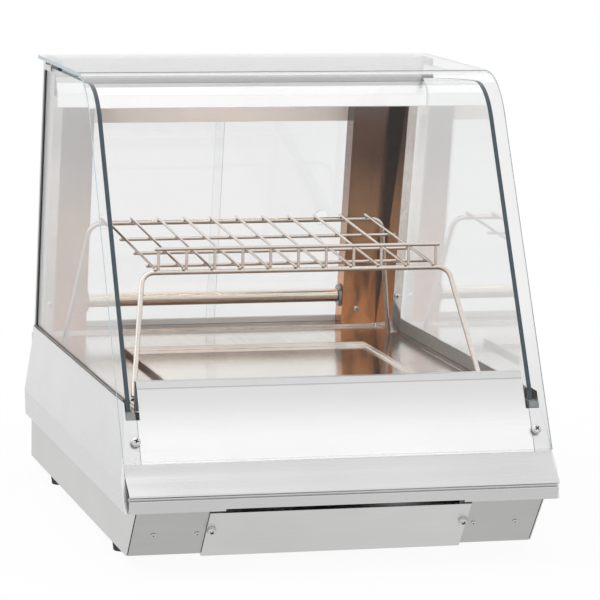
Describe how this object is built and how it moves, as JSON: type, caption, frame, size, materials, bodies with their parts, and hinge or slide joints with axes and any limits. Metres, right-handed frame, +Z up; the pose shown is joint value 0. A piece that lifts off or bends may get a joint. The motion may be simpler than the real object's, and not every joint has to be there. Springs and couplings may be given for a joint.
{
  "type": "heated display case",
  "caption": "Countertop heated display case: bent front glass, flat side glasses, warm deck with tray, raised wire rack, lamp hood and rear sliding glass doors.",
  "frame": {"origin": "middle of the footprint at the level of the feet's undersides", "axes": "+X to the right seen from the front, +Y to the rear, +Z up"},
  "size_m": [0.579, 0.8024, 0.6105],
  "materials": {
    "steel": "fine brushed stainless steel",
    "satin_steel": "pale satin stainless sheet",
    "clear_glass": "clear float glass with dark green-blue cut edges",
    "black_rubber": "matt black rubber",
    "black_plastic": "matt black moulding",
    "ceramic": "unglazed ceramic",
    "quartz": "warm quartz tube"
  },
  "bodies": {
    "case": {"apron": "satin_steel", "base_shell": "satin_steel", "cable_gland": "black_plastic", "corner_panel_left": "satin_steel", "corner_panel_right": "satin_steel", "corner_screw_inner_left": "steel", "corner_screw_inner_right": "steel", "corner_screw_outer_left": "steel", "corner_screw_outer_right": "steel", "crossbar": "steel", "crossbar_disc_left": "steel", "crossbar_disc_right": "steel", "deck": "steel", "flange_screw_left": "steel", "flange_screw_right": "steel", "foot_front_left": "black_rubber", "foot_front_right": "black_rubber", "foot_rear_left": "black_rubber", "foot_rear_right": "black_rubber", "front_pane": "clear_glass", "heat_lamp": "quartz", "heating_plate": "black_plastic", "hood": "satin_steel", "lamp_holder_left": "ceramic", "lamp_holder_right": "ceramic", "lip": "satin_steel", "lower_track": "steel", "pane_block_left": "black_rubber", "pane_block_right": "black_rubber", "pane_clip_left": "satin_steel", "pane_clip_right": "satin_steel", "pane_pad_left": "black_rubber", "pane_pad_right": "black_rubber", "pane_screw_left": "steel", "pane_screw_right": "steel", "pane_seal_left": "black_rubber", "pane_seal_right": "black_rubber", "post_left": "steel", "post_right": "steel", "post_screw_left": "steel", "post_screw_right": "steel", "rear_panel": "satin_steel", "reflector": "steel", "side_pane_left": "clear_glass", "side_pane_right": "clear_glass", "side_panel_left": "satin_steel", "side_panel_right": "satin_steel", "switch_housing": "black_plastic", "thermostat": "black_plastic", "upper_track": "steel"},
    "access_cover": {"access_cover": "satin_steel"},
    "thumb_screw_left": {"thumb_screw_left": "steel"},
    "thumb_screw_right": {"thumb_screw_right": "steel"},
    "door_left": {"door_left": "clear_glass"},
    "door_right": {"door_right": "clear_glass"},
    "thermostat_knob": {"thermostat_knob": "black_plastic"},
    "switch_rocker": {"switch_rocker": "black_plastic"},
    "rack": {"rack": "steel"},
    "tray": {"tray": "steel"}
  },
  "joints": [
    {"name": "door_left_slide", "type": "slide", "parent": "case", "child": "door_left", "axis": [1, 0, 0], "range_m": [0, 0.19]},
    {"name": "door_right_slide", "type": "slide", "parent": "case", "child": "door_right", "axis": [1, 0, 0], "range_m": [-0.19, 0]},
    {"name": "thermostat_knob_turn", "type": "hinge", "parent": "case", "child": "thermostat_knob", "pos_m": [0.12, 0.3706, 0.13825], "axis": [0, -1, 0], "range_deg": [0, 270]},
    {"name": "switch_rocker_tip", "type": "hinge", "parent": "case", "child": "switch_rocker", "pos_m": [-0.12, 0.3686, 0.13825], "axis": [1, 0, 0], "range_deg": [-12, 12]},
    {"name": "access_cover_tip", "type": "hinge", "parent": "case", "child": "access_cover", "pos_m": [0, -0.31544, 0.0085], "axis": [1, 0, 0], "range_deg": [0, 40]},
    {"name": "thumb_screw_left_turn", "type": "hinge", "parent": "access_cover", "child": "thumb_screw_left", "pos_m": [-0.168, -0.35584, 0.0497], "axis": [0, -0.7755, -0.6313], "continuous": true},
    {"name": "thumb_screw_right_turn", "type": "hinge", "parent": "access_cover", "child": "thumb_screw_right", "pos_m": [0.168, -0.35584, 0.0497], "axis": [0, -0.7755, -0.6313], "continuous": true},
    {"name": "rack_lift", "type": "slide", "parent": "case", "child": "rack", "axis": [0, 0, 1], "range_m": [0, 0.1]},
    {"name": "tray_lift", "type": "slide", "parent": "case", "child": "tray", "axis": [0, 0, 1], "range_m": [0, 0.03]}
  ]
}
